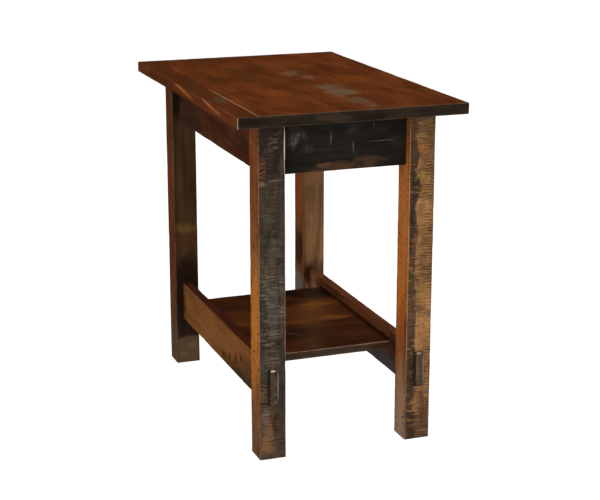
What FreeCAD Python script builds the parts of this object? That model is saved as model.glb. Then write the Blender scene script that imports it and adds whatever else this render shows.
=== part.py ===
import FreeCAD, Part
import os
import Sketcher

# A rustic side table: plank top, four square legs, aprons with blind tenons, two low side
# stretchers with through tenons, and a short shelf housed between the stretchers.
# The origin is on the floor, in the middle of the footprint. X runs from left to right, Y from
# front to back and Z up.

document = FreeCAD.newDocument("SideTable")
sheet = document.addObject("Spreadsheet::Sheet", "Sizes")

# Driving sizes in millimetres, with shares of the whole where a row of boards fills a width
sizes = {
    "table_height": 635,
    "top_width": 428,
    "top_depth": 670,
    "top_thickness": 21,
    "side_overhang": 47.5,
    "end_overhang": 34.5,
    "leg_size": 50,
    "rail_thickness": 19,
    "worn_edge": 1.2,
    "apron_height": 94,
    "apron_tenon_thickness": 8,
    "apron_tenon_shoulder": 10,
    "mortise_wall": 2,
    "mortise_end_gap": 0.6,
    "glue_gap": 0.1,
    "stretcher_bottom": 97.5,
    "stretcher_height": 80,
    "stretcher_shoulder": 7,
    "tenon_protrusion": 6,
    "tenon_bevel": 3,
    "shelf_drop": 20.5,
    "shelf_thickness": 16.5,
    "shelf_depth": 377,
    "housing_depth": 6,
    "button_width": 26,
    "button_length": 34,
    "button_thickness": 18,
    "button_play": 1.5,
    "tongue_thickness": 8,
    "tongue_length": 7,
    "button_spacing_across": 110,
    "button_spacing_along": 280,
    "screw_diameter": 4.2,
    "screw_head_diameter": 8.4,
    "screw_point_length": 5,
    "screw_cover": 9,
    "screw_gap": 0.1,
    "driver_slot_width": 1.2,
    "driver_slot_depth": 1,
}
top_board_shares = [0.09, 0.21, 0.21, 0.19, 0.3]
shelf_board_names = ["front", "middle", "back"]
shelf_board_shares = [0.42, 0.33, 0.25]

for index, share in enumerate(top_board_shares, start=1):
    sizes["top_board_share_%d" % index] = share
for name, share in zip(shelf_board_names, shelf_board_shares):
    sizes["shelf_board_share_" + name] = share
for row, (name, size) in enumerate(sizes.items(), start=1):
    sheet.set("A%d" % row, name)
    sheet.set("B%d" % row, str(size))
    sheet.setAlias("B%d" % row, name)
document.recompute()

# Lines and levels that several pieces share, as expressions on the sheet
leg_height = "(Sizes.table_height - Sizes.top_thickness)"
leg_line_across = "(Sizes.top_width / 2 - Sizes.side_overhang - Sizes.leg_size / 2)"
leg_line_along = "(Sizes.top_depth / 2 - Sizes.end_overhang - Sizes.leg_size / 2)"
span_across = "(2 * %s - Sizes.leg_size)" % leg_line_across
span_along = "(2 * %s - Sizes.leg_size)" % leg_line_along
apron_bottom = "(%s - Sizes.apron_height)" % leg_height
mortise_depth = (
    "(Sizes.leg_size / 2 - Sizes.apron_tenon_thickness / 2 - Sizes.glue_gap - Sizes.mortise_wall)"
)
apron_tenon_length = "(%s - Sizes.mortise_end_gap)" % mortise_depth
shelf_bottom = (
    "(Sizes.stretcher_bottom + Sizes.stretcher_height - Sizes.shelf_drop - Sizes.shelf_thickness)"
)
rail_face = "(Sizes.rail_thickness / 2)"
button_bottom = "(Sizes.apron_height - Sizes.button_thickness)"
screw_line = "(%s + Sizes.button_play + Sizes.button_length / 2)" % rail_face

# Each side of the table: the turn that brings a rail's inner face to face the middle, the rail's
# middle line and its span between the legs
sides = {
    "front": (0, "0", "-" + leg_line_along, span_across),
    "back": (180, "0", leg_line_along, span_across),
    "left": (-90, "-" + leg_line_across, "0", span_along),
    "right": (90, leg_line_across, "0", span_along),
}

# How far apart the two buttons on each side stand, and what each is called along its rail's own X
across_spacing = "Sizes.button_spacing_across"
along_spacing = "Sizes.button_spacing_along"
button_places = {
    "front": (across_spacing, {"left": "-", "right": ""}),
    "back": (across_spacing, {"right": "-", "left": ""}),
    "left": (along_spacing, {"back": "-", "front": ""}),
    "right": (along_spacing, {"front": "-", "back": ""}),
}
rounding = 1e-6
parts = []


def new_body(label, turn=0, across="0", along="0", up="0", is_part=True):
    """An empty body, turned about Z and set down at the given place."""
    body = document.addObject("PartDesign::Body", label)
    body.Label = label
    body.Placement = FreeCAD.Placement(FreeCAD.Vector(), FreeCAD.Rotation(turn, 0, 0))
    body.setExpression("Placement.Base.x", across)
    body.setExpression("Placement.Base.y", along)
    body.setExpression("Placement.Base.z", up)
    if is_part:
        parts.append(body)
    return body


def new_sketch(body, plane, name, level="0"):
    """A sketch on one of the body's origin planes, lifted off it by level."""
    sketch = body.newObject("Sketcher::SketchObject", body.Label + "_" + name)
    support = [item for item in body.Origin.OriginFeatures if item.Role == plane][0]
    sketch.AttachmentSupport = (support, [""])
    sketch.MapMode = "FlatFace"
    sketch.setExpression("AttachmentOffset.Base.z", level)
    return sketch


def draw_outline(sketch, points):
    """A closed outline through points, each held by its two distances from the origin."""
    guess = [FreeCAD.Vector(value(x), value(y), 0) for x, y in points]
    count = len(points)
    for index in range(count):
        sketch.addGeometry(Part.LineSegment(guess[index], guess[(index + 1) % count]), False)
    for index in range(count):
        sketch.addConstraint(Sketcher.Constraint("Coincident", index, 2, (index + 1) % count, 1))
    for index, (x, y) in enumerate(points):
        hold_point(sketch, index, 1, x, y)


def hold_point(sketch, geometry, end, x, y):
    """Two distances from the sketch's origin that hold a point of one of its lines or circles."""
    for direction, distance in (("DistanceX", x), ("DistanceY", y)):
        number = sketch.addConstraint(
            Sketcher.Constraint(direction, -1, 1, geometry, end, value(distance))
        )
        sketch.setExpression("Constraints[%d]" % number, distance)


def draw_rectangle(sketch, left, bottom, width, height):
    """A rectangle from its lower left corner and its size."""
    right = "%s + %s" % (left, width)
    top = "%s + %s" % (bottom, height)
    draw_outline(sketch, [(left, bottom), (right, bottom), (right, top), (left, top)])


def draw_circle(sketch, x, y, diameter):
    """A circle held at its centre."""
    centre = FreeCAD.Vector(value(x), value(y), 0)
    circle = Part.Circle(centre, FreeCAD.Vector(0, 0, 1), value(diameter) / 2)
    geometry = sketch.addGeometry(circle, False)
    hold_point(sketch, geometry, 3, x, y)
    number = sketch.addConstraint(Sketcher.Constraint("Diameter", geometry, value(diameter)))
    sketch.setExpression("Constraints[%d]" % number, diameter)


def value(expression):
    """The number that an expression on the sheet comes to."""
    result = sheet.evalExpression(expression)
    return float(getattr(result, "Value", result))


def pad(body, sketch, length, both_ways=False):
    """Wood added over a sketch, to its normal's side or to both sides."""
    feature = body.newObject("PartDesign::Pad", sketch.Name + "_pad")
    feature.Profile = sketch
    feature.Midplane = both_ways
    feature.setExpression("Length", length)
    document.recompute()
    return feature


def pocket(body, sketch, length=None, reverse=False, both_ways=False):
    """Wood cut away from a sketch outwards, right through where no length is given."""
    before = body.Shape.Volume
    feature = body.newObject("PartDesign::Pocket", sketch.Name + "_pocket")
    feature.Profile = sketch
    feature.Reversed = reverse
    feature.Midplane = both_ways
    if length is None:
        feature.Type = "ThroughAll"
    else:
        feature.setExpression("Length", length)
    document.recompute()
    if not feature.Shape.Volume < before:
        raise RuntimeError(feature.Name + " cuts nothing")
    return feature


def bevel(body, base, name, size, chosen):
    """A bevel on the straight edges of the last shape whose two ends pass the test chosen."""
    names = []
    for number, edge in enumerate(base.Shape.Edges, start=1):
        ends = [vertex.Point for vertex in edge.Vertexes]
        if len(ends) == 2 and chosen(*ends):
            names.append("Edge%d" % number)
    feature = body.newObject("PartDesign::Chamfer", body.Label + "_" + name)
    feature.Base = (base, names)
    feature.setExpression("Size", size)
    document.recompute()
    return feature


def same(first, second):
    """True for two numbers that differ by no more than rounding."""
    return abs(first - second) < rounding


def upright(first, second):
    """True for the ends of an upright edge."""
    return same(first.x, second.x) and same(first.y, second.y)


def lengthwise(first, second):
    """True for the ends of an edge along the body's own X."""
    return same(first.y, second.y) and same(first.z, second.z)


def make_leg(label, inward, turn, across, along):
    """A square post with two apron mortises and a through mortise for the stretcher.

    The post stands on its own middle line. The mortise for the side apron opens towards its own
    +Y, and the one for the front or back apron towards +X or -X, as inward says.
    """
    body = new_body(label, turn, across, along)
    half = "Sizes.leg_size / 2"
    section = new_sketch(body, "XY_Plane", "section")
    draw_rectangle(section, "-" + half, "-" + half, "Sizes.leg_size", "Sizes.leg_size")
    post = pad(body, section, leg_height)
    bevel(body, post, "worn_edges", "Sizes.worn_edge", upright)

    tenon_low = "%s + Sizes.apron_tenon_shoulder - Sizes.glue_gap" % apron_bottom
    tenon_height = "Sizes.apron_height - 2 * Sizes.apron_tenon_shoulder + 2 * Sizes.glue_gap"
    tenon_side = "-Sizes.apron_tenon_thickness / 2 - Sizes.glue_gap"
    tenon_width = "Sizes.apron_tenon_thickness + 2 * Sizes.glue_gap"
    start = "(%s - %s)" % (half, mortise_depth)

    cross_mortise = new_sketch(body, "YZ_Plane", "cross_mortise", "%d * %s" % (inward, start))
    draw_rectangle(cross_mortise, tenon_side, tenon_low, tenon_width, tenon_height)
    pocket(body, cross_mortise, reverse=inward > 0)

    side_mortise = new_sketch(body, "XZ_Plane", "side_mortise", "-" + start)
    draw_rectangle(side_mortise, tenon_side, tenon_low, tenon_width, tenon_height)
    pocket(body, side_mortise)

    through_mortise = new_sketch(body, "XZ_Plane", "through_mortise")
    draw_rectangle(
        through_mortise,
        "-%s - Sizes.glue_gap" % rail_face,
        "Sizes.stretcher_bottom + Sizes.stretcher_shoulder - Sizes.glue_gap",
        "Sizes.rail_thickness + 2 * Sizes.glue_gap",
        "Sizes.stretcher_height - 2 * Sizes.stretcher_shoulder + 2 * Sizes.glue_gap",
    )
    pocket(body, through_mortise, both_ways=True)


def make_rail(label, side, up, height, worn):
    """A plain board on edge between two legs, its inner face towards its own +Y."""
    turn, across, along, span = sides[side]
    body = new_body(label, turn, across, along, up)
    section = new_sketch(body, "XY_Plane", "section")
    draw_rectangle(section, "-%s / 2" % span, "-" + rail_face, span, "Sizes.rail_thickness")
    board = pad(body, section, height)
    bevel(body, board, "worn_edges", "Sizes.worn_edge", worn)
    return body, span


def add_tenons(body, span, reach, shoulder, height, thickness):
    """A tongue through the whole length, which stands out at both ends as tenons."""
    tongue = new_sketch(body, "XZ_Plane", "tenons")
    draw_rectangle(
        tongue,
        "-%s / 2 - %s" % (span, reach),
        shoulder,
        "%s + 2 * %s" % (span, reach),
        "%s - 2 * %s" % (height, shoulder),
    )
    return pad(body, tongue, thickness, both_ways=True)


def make_apron(side):
    """An apron with a blind tenon at each end and two slots for the buttons."""

    def lower_long_edge(first, second):
        return lengthwise(first, second) and same(first.z, 0)

    body, span = make_rail(
        "apron_" + side, side, apron_bottom, "Sizes.apron_height", lower_long_edge
    )
    add_tenons(
        body,
        span,
        apron_tenon_length,
        "Sizes.apron_tenon_shoulder",
        "Sizes.apron_height",
        "Sizes.apron_tenon_thickness",
    )
    spacing, places = button_places[side]
    for place, sign in places.items():
        slot = new_sketch(
            body,
            "XZ_Plane",
            "slot_" + place,
            "-(%s - Sizes.tongue_length)" % rail_face,
        )
        draw_rectangle(
            slot,
            "%s%s / 2 - Sizes.button_width / 2 - Sizes.button_play" % (sign, spacing),
            "%s - Sizes.glue_gap" % button_bottom,
            "Sizes.button_width + 2 * Sizes.button_play",
            "Sizes.tongue_thickness + Sizes.glue_gap",
        )
        pocket(body, slot)


def make_stretcher(side):
    """A low side rail with bevelled through tenons and a stopped housing for the shelf."""
    body, span = make_rail(
        "stretcher_" + side, side, "Sizes.stretcher_bottom", "Sizes.stretcher_height", lengthwise
    )
    reach = "(Sizes.leg_size + Sizes.tenon_protrusion)"
    tenons = add_tenons(
        body,
        span,
        reach,
        "Sizes.stretcher_shoulder",
        "Sizes.stretcher_height",
        "Sizes.rail_thickness",
    )
    tip = value("%s / 2 + %s" % (span, reach))

    def tip_edge(first, second):
        return same(abs(first.x), tip) and same(abs(second.x), tip)

    bevel(body, tenons, "tenon_bevels", "Sizes.tenon_bevel", tip_edge)
    housing = new_sketch(
        body, "XZ_Plane", "housing", "-(%s - Sizes.housing_depth)" % rail_face
    )
    draw_rectangle(
        housing,
        "-Sizes.shelf_depth / 2 - Sizes.glue_gap",
        "%s - Sizes.stretcher_bottom" % shelf_bottom,
        "Sizes.shelf_depth + 2 * Sizes.glue_gap",
        "Sizes.shelf_thickness + Sizes.glue_gap",
    )
    pocket(body, housing)


def make_shelf_board(name, before):
    """One board of the shelf, its ends in the stretchers' housings."""
    body = new_body("shelf_board_" + name, up=shelf_bottom)
    length = "(%s + Sizes.leg_size - Sizes.rail_thickness + 2 * Sizes.housing_depth" % span_across
    length += " - 2 * Sizes.glue_gap)"
    front = "-Sizes.shelf_depth / 2 + Sizes.shelf_depth * (%s)" % before
    width = "Sizes.shelf_depth * Sizes.shelf_board_share_" + name
    section = new_sketch(body, "XY_Plane", "section")
    draw_rectangle(section, "-%s / 2" % length, front, length, width)
    board = pad(body, section, "Sizes.shelf_thickness")
    edge_line = value("Sizes.shelf_depth / 2")

    def outer_edge(first, second):
        return lengthwise(first, second) and same(abs(first.y), edge_line)

    if name != "middle":
        bevel(body, board, "worn_edges", "Sizes.worn_edge", outer_edge)


def make_top_board(number, before, screws):
    """One board of the top, with pilot holes where the button screws bite into it."""
    body = new_body("top_board_%d" % number, up=leg_height)
    left = "-Sizes.top_width / 2 + Sizes.top_width * (%s)" % before
    width = "Sizes.top_width * Sizes.top_board_share_%d" % number
    half_depth = "Sizes.top_depth / 2"
    section = new_sketch(body, "XY_Plane", "section")
    draw_rectangle(section, left, "-" + half_depth, width, "Sizes.top_depth")
    board = pad(body, section, "Sizes.top_thickness")
    half_width = value("Sizes.top_width / 2")
    end_line = value(half_depth)

    def rim_edge(first, second):
        on_end = same(abs(first.y), end_line) and same(first.y, second.y)
        on_side = same(abs(first.x), half_width) and same(first.x, second.x)
        level = same(first.z, second.z)
        return (level and (on_end or on_side)) or (on_end and on_side)

    bevel(body, board, "worn_edges", "Sizes.worn_edge", rim_edge)
    low = value(left)
    high = low + value(width)
    over = [place for place in screws if low < value(place[0]) < high]
    if over:
        holes = new_sketch(body, "XY_Plane", "pilot_holes")
        for x, y in over:
            draw_circle(holes, x, y, "Sizes.screw_diameter + 2 * Sizes.screw_gap")
        depth = "Sizes.top_thickness - Sizes.screw_cover + Sizes.screw_gap"
        pocket(body, holes, depth, reverse=True)


def make_button(side, place, sign):
    """A wooden button under the top, its tongue in the apron's slot."""
    turn, across, along, _ = sides[side]
    spacing, _ = button_places[side]
    body = new_body("button_%s_%s" % (side, place), turn, across, along, apron_bottom)
    middle = "%s%s / 2" % (sign, spacing)
    left = "%s - Sizes.button_width / 2" % middle
    block = new_sketch(body, "XY_Plane", "block", button_bottom)
    heel = "%s + Sizes.button_play" % rail_face
    draw_rectangle(block, left, heel, "Sizes.button_width", "Sizes.button_length")
    pad(body, block, "Sizes.button_thickness")
    tongue = new_sketch(body, "XY_Plane", "tongue", button_bottom)
    draw_rectangle(
        tongue,
        left,
        "%s - Sizes.tongue_length + Sizes.button_play" % rail_face,
        "Sizes.button_width",
        "Sizes.tongue_length",
    )
    pad(body, tongue, "Sizes.tongue_thickness")
    hole = new_sketch(body, "XY_Plane", "screw_hole", button_bottom)
    draw_circle(hole, middle, screw_line, "Sizes.screw_diameter + 2 * Sizes.screw_gap")
    drilled = pocket(body, hole, reverse=True)
    rim = [
        "Edge%d" % number
        for number, edge in enumerate(drilled.Shape.Edges, start=1)
        if isinstance(edge.Curve, Part.Circle) and same(edge.BoundBox.ZMax, value(button_bottom))
    ]
    sink = body.newObject("PartDesign::Chamfer", body.Label + "_countersink")
    sink.Base = (drilled, rim)
    sink.setExpression("Size", "(Sizes.screw_head_diameter - Sizes.screw_diameter) / 2")
    document.recompute()


def make_screw(number, across, along):
    """A countersunk wood screw, head down, with a slot for the driver."""
    up = "%s - Sizes.button_thickness" % leg_height
    body = new_body("screw_%d" % number, 0, across, along, up, is_part=False)
    shank = "Sizes.screw_diameter / 2"
    head = "Sizes.screw_head_diameter / 2"
    head_height = "(%s - %s)" % (head, shank)
    length = "(Sizes.button_thickness + Sizes.top_thickness - Sizes.screw_cover)"
    profile = new_sketch(body, "XZ_Plane", "profile")
    draw_outline(
        profile,
        [
            ("0", "0"),
            (head, "0"),
            (shank, head_height),
            (shank, "%s - Sizes.screw_point_length" % length),
            ("0", length),
        ],
    )
    turned = body.newObject("PartDesign::Revolution", body.Label + "_turned")
    turned.Profile = profile
    turned.ReferenceAxis = (profile, ["V_Axis"])
    document.recompute()
    slot = new_sketch(body, "XY_Plane", "driver_slot")
    draw_rectangle(
        slot,
        "-" + head,
        "-Sizes.driver_slot_width / 2",
        "Sizes.screw_head_diameter",
        "Sizes.driver_slot_width",
    )
    pocket(body, slot, "Sizes.driver_slot_depth", reverse=True)
    return body


# Legs, each turned so that its side apron's mortise faces the other end of the table
make_leg("leg_front_left", 1, 0, "-" + leg_line_across, "-" + leg_line_along)
make_leg("leg_front_right", -1, 0, leg_line_across, "-" + leg_line_along)
make_leg("leg_back_right", 1, 180, leg_line_across, leg_line_along)
make_leg("leg_back_left", -1, 180, "-" + leg_line_across, leg_line_along)

for side in sides:
    make_apron(side)
for side in ("left", "right"):
    make_stretcher(side)

taken = "0"
for name in shelf_board_names:
    make_shelf_board(name, taken)
    taken += " + Sizes.shelf_board_share_" + name

# The middle of each button screw, two on each side of the table
screw_places = []
for sign in ("-", ""):
    across_step = sign + "Sizes.button_spacing_across / 2"
    along_step = sign + "Sizes.button_spacing_along / 2"
    screw_places.append((across_step, "-%s + %s" % (leg_line_along, screw_line)))
    screw_places.append((across_step, "%s - %s" % (leg_line_along, screw_line)))
    screw_places.append(("-%s + %s" % (leg_line_across, screw_line), along_step))
    screw_places.append(("%s - %s" % (leg_line_across, screw_line), along_step))

taken = "0"
for number in range(1, len(top_board_shares) + 1):
    make_top_board(number, taken, screw_places)
    taken += " + Sizes.top_board_share_%d" % number

for side, (_, places) in button_places.items():
    for place, sign in places.items():
        make_button(side, place, sign)

screws = document.addObject("Part::Compound", "button_screws")
screws.Label = "button_screws"
screws.Links = [
    make_screw(number, x, y) for number, (x, y) in enumerate(screw_places, start=1)
]
parts.append(screws)
document.recompute()

# Nothing is written unless every feature and every piece is sound
for item in document.Objects:
    if "Invalid" in item.State or "Error" in item.State:
        raise RuntimeError(item.Name + " failed to build")
for item in parts:
    if item.Shape.isNull() or not item.Shape.isValid():
        raise RuntimeError(item.Label + " has no sound shape")

os.makedirs("parts", exist_ok=True)
for item in parts:
    item.Shape.exportStep(os.path.join("parts", item.Label + ".step"))
    centre = item.Shape.BoundBox.Center
    print(
        "%-22s solids %d volume %.0f centre %.1f %.1f %.1f"
        % (item.Label, len(item.Shape.Solids), item.Shape.Volume, centre.x, centre.y, centre.z)
    )
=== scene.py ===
"""The looks of a small rustic side table: glazed, rough-sawn boards with rubbed arrises, in a studio."""

import math
from dataclasses import dataclass, field

import bmesh
import bpy
from bpy.props import FloatProperty, FloatVectorProperty, PointerProperty
from mathutils import Euler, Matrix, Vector, noise


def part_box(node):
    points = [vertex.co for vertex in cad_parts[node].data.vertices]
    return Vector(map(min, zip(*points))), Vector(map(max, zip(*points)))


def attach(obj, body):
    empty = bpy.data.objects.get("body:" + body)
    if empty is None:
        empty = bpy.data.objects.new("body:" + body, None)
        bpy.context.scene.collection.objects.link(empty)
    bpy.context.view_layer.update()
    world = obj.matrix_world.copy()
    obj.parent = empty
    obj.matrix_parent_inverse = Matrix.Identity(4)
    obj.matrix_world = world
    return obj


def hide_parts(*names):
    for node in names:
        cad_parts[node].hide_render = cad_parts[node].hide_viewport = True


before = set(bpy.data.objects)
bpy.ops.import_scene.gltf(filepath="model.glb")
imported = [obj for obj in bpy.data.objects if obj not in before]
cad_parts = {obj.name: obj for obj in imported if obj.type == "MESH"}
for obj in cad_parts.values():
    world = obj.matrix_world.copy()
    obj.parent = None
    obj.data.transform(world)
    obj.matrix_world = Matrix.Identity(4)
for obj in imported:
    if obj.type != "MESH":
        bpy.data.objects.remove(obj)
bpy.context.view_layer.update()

bl_info = {
    "name": "Rustic side table",
    "version": (1, 0, 0),
    "blender": (4, 5, 0),
    "location": "3D View > Sidebar > Rustic Table",
    "description": "Dresses the frame of a rustic side table in worn, glazed wood and sets up its studio",
    "category": "Object",
}

MM = 0.001
X, Y, Z = 0, 1, 2

# Places that follow from the frame

TOP_BOARDS = sorted(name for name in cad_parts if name.startswith("top_board"))
SHELF_BOARDS = ["shelf_board_front", "shelf_board_middle", "shelf_board_back"]
LEGS = ["leg_front_left", "leg_front_right", "leg_back_left", "leg_back_right"]
APRONS = ["apron_front", "apron_back", "apron_left", "apron_right"]
STRETCHERS = ["stretcher_left", "stretcher_right"]
BUTTONS = sorted(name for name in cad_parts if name.startswith("button") and name != "button_screws")


def paint(red, green, blue):
    """A colour in the linear scale that materials use, from its levels of 0 to 255 on a screen."""
    levels = [level / 255 for level in (red, green, blue)]
    return tuple(level / 12.92 if level <= 0.04045 else ((level + 0.055) / 1.055) ** 2.4 for level in levels)


def shade(colour, factor):
    """The colour made lighter or darker."""
    return tuple(min(1.0, part * factor) for part in colour)


def joint_box(names):
    """Lowest and highest corner of several nodes of the frame together."""
    boxes = [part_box(name) for name in names]
    low = Vector(min(box[0][axis] for box in boxes) for axis in range(3))
    high = Vector(max(box[1][axis] for box in boxes) for axis in range(3))
    return low, high


def colour_property(name, description, colour):
    """A colour that a user can change."""
    return FloatVectorProperty(
        name=name, description=description, default=colour, subtype="COLOR", size=3, min=0.0, max=1.0
    )


def length_property(name, description, length):
    """A length in metres that a user can change."""
    return FloatProperty(
        name=name, description=description, default=length, min=0.0, precision=5, unit="LENGTH",
        subtype="DISTANCE"
    )


class RusticTableWear(bpy.types.PropertyGroup):
    """Sizes of the wear on the boards and legs."""

    arris_least: length_property("Least arris", "Radius of the sharpest part of a rubbed arris", 2.1 * MM)
    arris_most: length_property("Greatest arris", "Radius of the roundest part of a rubbed arris", 3.4 * MM)
    dent: length_property("Dent", "How much rounder an arris is at a dent", 2.2 * MM)
    skin_least: length_property("Least planing", "Least depth of wear on a face", 0.05 * MM)
    skin_most: length_property("Greatest planing", "Greatest depth of wear on a face", 0.4 * MM)
    step_along: length_property("Step along", "Spacing of the mesh along the grain", 6 * MM)
    step_across: length_property("Step across", "Spacing of the mesh across the grain", 11 * MM)


class RusticTableColours(bpy.types.PropertyGroup):
    """Colours of the glazed wood."""

    top: colour_property("Top", "Red-brown of the top", paint(92, 45, 17))
    top_side: colour_property("Top side", "Red-brown of the top's long sides", paint(86, 42, 16))
    top_edge: colour_property("Top edge", "Near-black brown of the top's front edge", paint(40, 30, 20))
    apron: colour_property("Front apron", "Near-black glaze of the front apron", paint(31, 27, 20))
    side_apron: colour_property("Side apron", "Dark red-brown of the side aprons", paint(68, 34, 17))
    orange: colour_property("Orange wood", "Orange-brown of the front legs' sides", paint(132, 76, 30))
    red_brown: colour_property("Red-brown wood", "Dark red-brown of the back legs' sides", paint(84, 44, 19))
    charcoal: colour_property("Charcoal glaze", "Grey-brown glaze on the left front leg", paint(62, 50, 37))
    tan: colour_property("Tan wood", "Tan of the right leg's front", paint(148, 102, 58))
    olive: colour_property("Olive glaze", "Dark olive-brown of the left back leg's front", paint(62, 40, 18))
    honey: colour_property("Honey wood", "Golden brown of the right back leg's front", paint(128, 88, 48))
    stretcher: colour_property("Stretcher", "Golden brown of the stretchers", paint(114, 70, 29))
    shelf: colour_property("Shelf", "Dark red-brown of the shelf", paint(84, 46, 24))
    kerf: colour_property("Saw marks", "Dark glaze that lies in the saw marks", paint(36, 22, 12))
    scratch: colour_property("Scratches", "Pale wood where the glaze is scratched off", paint(122, 108, 92))
    rubbed: colour_property("Rubbed arris", "Pale wood of the rubbed arrises", paint(146, 116, 86))
    smudge: colour_property("Smudge", "Silvery grey glaze left on the top", paint(104, 90, 72))
    bare: colour_property("Bare wood", "Unfinished hardwood of the buttons", paint(196, 160, 116))
    steel: colour_property("Steel", "Steel of the screws", paint(168, 168, 170))


class RusticTableStudio(bpy.types.PropertyGroup):
    """The camera and the lights."""

    camera_place: FloatVectorProperty(
        name="Camera place", description="Where the camera stands", default=(-0.9704, -2.7143, 1.1024),
        size=3, unit="LENGTH", subtype="XYZ"
    )
    camera_pitch: FloatProperty(
        name="Camera pitch", description="How far the camera looks down", default=math.radians(15.566),
        unit="ROTATION", subtype="ANGLE"
    )
    camera_yaw: FloatProperty(
        name="Camera yaw", description="How far the camera looks to the right of the table's depth",
        default=math.radians(20.037), unit="ROTATION", subtype="ANGLE"
    )
    camera_lens: FloatProperty(
        name="Camera lens", description="Focal length for a 36 mm wide sensor", default=91.44,
        min=1.0, unit="CAMERA"
    )
    ceiling: FloatProperty(
        name="Ceiling", description="Strength of the ceiling that the gloss mirrors", default=0.25, min=0.0
    )
    softbox: FloatProperty(
        name="Softbox", description="Power of the large soft light at the front left", default=62.0, min=0.0,
        unit="POWER"
    )


# Shapes of the worn boards

RIM_SHARES = (0.0, 0.22, 0.45, 0.72, 1.0)
OVERRUN = 0.5 * MM
WELD = 0.001 * MM
SHARP_ANGLE = math.radians(38)
SOUND_SHARE = 0.5
SHOULDER = 7 * MM
TIP_BEVEL = 3 * MM
BEVEL_MARGIN = 1.2 * MM
FAR = 1.0
SEED_STEPS = (17.3, 5.9, 11.1)
NOISE_GAIN = 0.7
ARRIS_WAVE = 45 * MM
SKIN_WAVE = 60 * MM
SKIN_SEED = 3
DENT_WAVE = 13 * MM
DENT_LEVEL = 0.72
DENT_RANGE = 0.28
BOTH = (True, True)
NEITHER = (False, False)


def steady(point, size, seed):
    """Smooth noise from 0 to 1 at a place, the same on every run, with bumps of the given size."""
    shift = Vector([step * seed for step in SEED_STEPS])
    return min(1.0, max(0.0, 0.5 + NOISE_GAIN * noise.noise(point / size + shift)))


def side_lines(low, high, free, step, rim):
    """Grid places on one axis of a block: close together beside a free side, and past a glued one."""
    start = [low + rim * share for share in RIM_SHARES] if free[0] else [low - OVERRUN, low + rim]
    end = [high - rim * share for share in reversed(RIM_SHARES)] if free[1] else [high - rim, high + OVERRUN]
    count = max(1, round((end[0] - start[-1]) / step))
    between = [start[-1] + (end[0] - start[-1]) * number / count for number in range(1, count)]
    return start + between + end


def worn_place(point, low, high, free, wear, seed):
    """Where a point on the surface of a square block goes on the worn one."""
    radius = wear.arris_least + (wear.arris_most - wear.arris_least) * steady(point, ARRIS_WAVE, seed)
    radius += wear.dent * max(0.0, steady(point, DENT_WAVE, seed + 1) - DENT_LEVEL) / DENT_RANGE
    inner = point.copy()
    for axis in range(3):
        if free[axis][0]:
            inner[axis] = max(inner[axis], low[axis] + radius)
        if free[axis][1]:
            inner[axis] = min(inner[axis], high[axis] - radius)
    reach = point - inner
    worn = inner + reach * (radius / reach.length) if reach.length > radius else point.copy()
    skin = wear.skin_least + (wear.skin_most - wear.skin_least) * steady(point, SKIN_WAVE, SKIN_SEED)
    for axis in range(3):
        if free[axis][0] and point[axis] < low[axis] + WELD:
            worn[axis] += skin
        if free[axis][1] and point[axis] > high[axis] - WELD:
            worn[axis] -= skin
    return worn


def worn_block(low, high, free, grain, wear, seed, cuts):
    """A closed mesh of a square block with worn free faces and arrises. Its grid has lines at the cuts."""
    lines = []
    for axis in range(3):
        step = wear.step_along if axis == grain else wear.step_across
        places = side_lines(low[axis], high[axis], free[axis], step, wear.arris_most)
        lines.append(sorted(places + [place for cut, place in cuts if cut == axis == grain]))
    last = [len(places) - 1 for places in lines]
    shell = bmesh.new()
    corners = {}

    def corner(index):
        """The vertex at a grid place, made when first asked for."""
        if index not in corners:
            point = Vector(lines[axis][index[axis]] for axis in range(3))
            corners[index] = shell.verts.new(worn_place(point, low, high, free, wear, seed))
        return corners[index]

    for axis in range(3):
        second = (axis + 1) % 3
        third = (axis + 2) % 3
        for side in (0, last[axis]):
            for along in range(last[second]):
                for up in range(last[third]):
                    loop = []
                    for step_second, step_third in ((0, 0), (1, 0), (1, 1), (0, 1)):
                        index = [0, 0, 0]
                        index[axis] = side
                        index[second] = along + step_second
                        index[third] = up + step_third
                        loop.append(corner(tuple(index)))
                    shell.faces.new(loop if side else loop[::-1])
    block = bpy.data.meshes.new("worn_block")
    shell.to_mesh(block)
    shell.free()
    return block


def cad_shape(node, cuts):
    """A closed copy of a CAD node's mesh, with lines cut across it and without its old shading."""
    shape = bmesh.new()
    shape.from_mesh(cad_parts[node].data)
    bmesh.ops.remove_doubles(shape, verts=shape.verts, dist=WELD)
    for axis, place in cuts:
        point = Vector((0, 0, 0))
        point[axis] = place
        normal = Vector((0, 0, 0))
        normal[axis] = 1
        geometry = list(shape.verts) + list(shape.edges) + list(shape.faces)
        bmesh.ops.bisect_plane(shape, geom=geometry, dist=WELD, plane_co=point, plane_no=normal)
    mesh = bpy.data.meshes.new("cad_shape")
    shape.to_mesh(mesh)
    shape.free()
    if mesh.has_custom_normals:
        mesh.attributes.remove(mesh.attributes["custom_normal"])
    return mesh


def volume(mesh):
    """The volume of a closed mesh."""
    shape = bmesh.new()
    shape.from_mesh(mesh)
    found = shape.calc_volume(signed=True)
    shape.free()
    return found


def new_object(name, data):
    """A new object in the scene."""
    made = bpy.data.objects.new(name, data)
    bpy.context.scene.collection.objects.link(made)
    return made


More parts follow.
